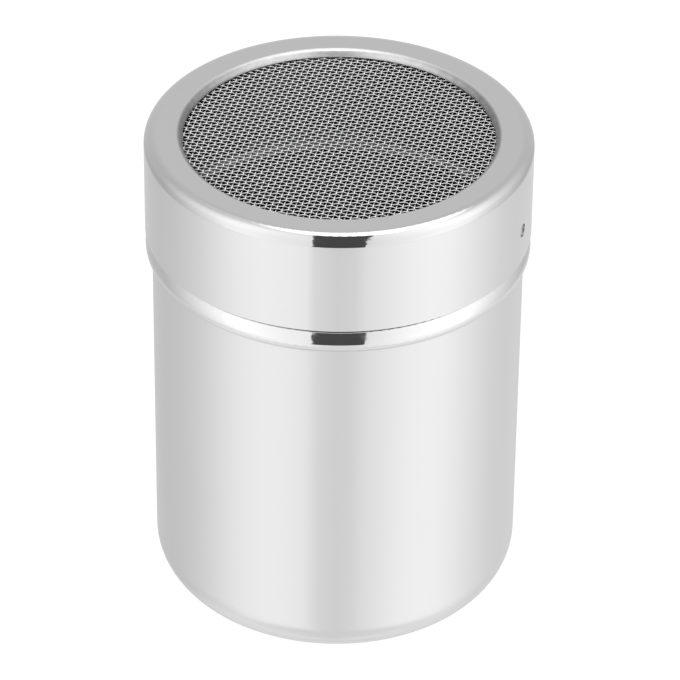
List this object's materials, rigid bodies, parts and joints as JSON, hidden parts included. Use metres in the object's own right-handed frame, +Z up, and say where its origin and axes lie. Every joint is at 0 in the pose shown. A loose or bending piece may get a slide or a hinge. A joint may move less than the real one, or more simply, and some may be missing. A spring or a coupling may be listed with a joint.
{
  "type": "powder shaker",
  "caption": "Round steel shaker for fine powder: a drawn cup with a twist-on lid whose top holds a fine woven wire mesh.",
  "frame": {"origin": "centre of the cup's base, on the surface that it stands on", "axes": "+Z up along the axis of the cup and the lid, +X and +Y along the wires of the mesh"},
  "size_m": [0.07, 0.07, 0.0943],
  "materials": {
    "cup_steel": "satin wall, polished bead under the lid",
    "lid_steel": "polished",
    "ring_steel": "plain rolled sheet",
    "wire_steel": "bright drawn wire"
  },
  "bodies": {
    "cup_body": {"cup": "cup_steel"},
    "lid_carrier": {"mesh_retaining_ring": "ring_steel"},
    "lid_body": {"lid_shell": "lid_steel", "mesh_warp_wires": "wire_steel", "mesh_weft_wires": "wire_steel"}
  },
  "joints": [
    {"name": "lid_lift", "type": "slide", "parent": "cup_body", "child": "lid_carrier", "axis": [0, 0, 1], "range_m": [0, 0.035]},
    {"name": "lid_twist", "type": "hinge", "parent": "lid_carrier", "child": "lid_body", "pos_m": [0, 0, 0.08], "axis": [0, 0, -1], "range_deg": [0, 35]}
  ]
}
